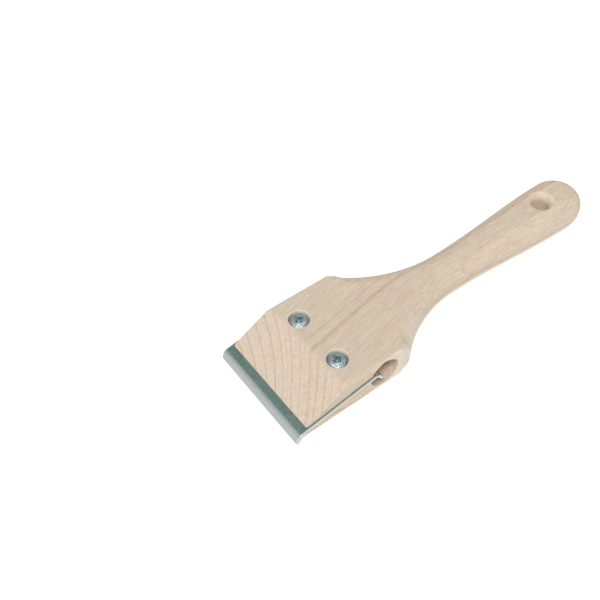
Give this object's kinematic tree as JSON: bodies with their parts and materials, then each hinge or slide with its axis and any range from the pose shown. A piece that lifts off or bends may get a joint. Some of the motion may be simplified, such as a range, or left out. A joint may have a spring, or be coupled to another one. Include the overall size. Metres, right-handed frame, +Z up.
{
  "type": "wood scraper",
  "caption": "Hand scraper for wood: a bare beech handle with a sawn, springy jaw at its wide head, screwed shut on a steel blade with hooked cutting edges.",
  "frame": {"origin": "below the middle of the whole tool, at the height of the wood's flat underside", "axes": "+X from the blade to the handle's round end, +Y across the tool, +Z up from the underside to the top with the screws"},
  "size_m": [0.2134, 0.06, 0.02],
  "materials": {
    "beech": "raw, finely sanded, unvarnished",
    "blade_steel": "dark greenish grey rolled steel with bright ground edges",
    "zinc_screws": "bluish bright zinc plating"
  },
  "bodies": {
    "handle": {"handle": "beech"},
    "blade": {"blade": "blade_steel"},
    "screw_left": {"screw_left": "zinc_screws"},
    "screw_right": {"screw_right": "zinc_screws"}
  },
  "joints": [
    {"name": "blade_slide", "type": "slide", "parent": "handle", "child": "blade", "axis": [0.9857, 0, 0.1685], "range_m": [-0.002, 0.003]},
    {"name": "screw_left_out", "type": "slide", "parent": "handle", "child": "screw_left", "axis": [0, 0, 1], "range_m": [0, 0.018]},
    {"name": "screw_right_out", "type": "slide", "parent": "handle", "child": "screw_right", "axis": [0, 0, 1], "range_m": [0, 0.018]}
  ]
}
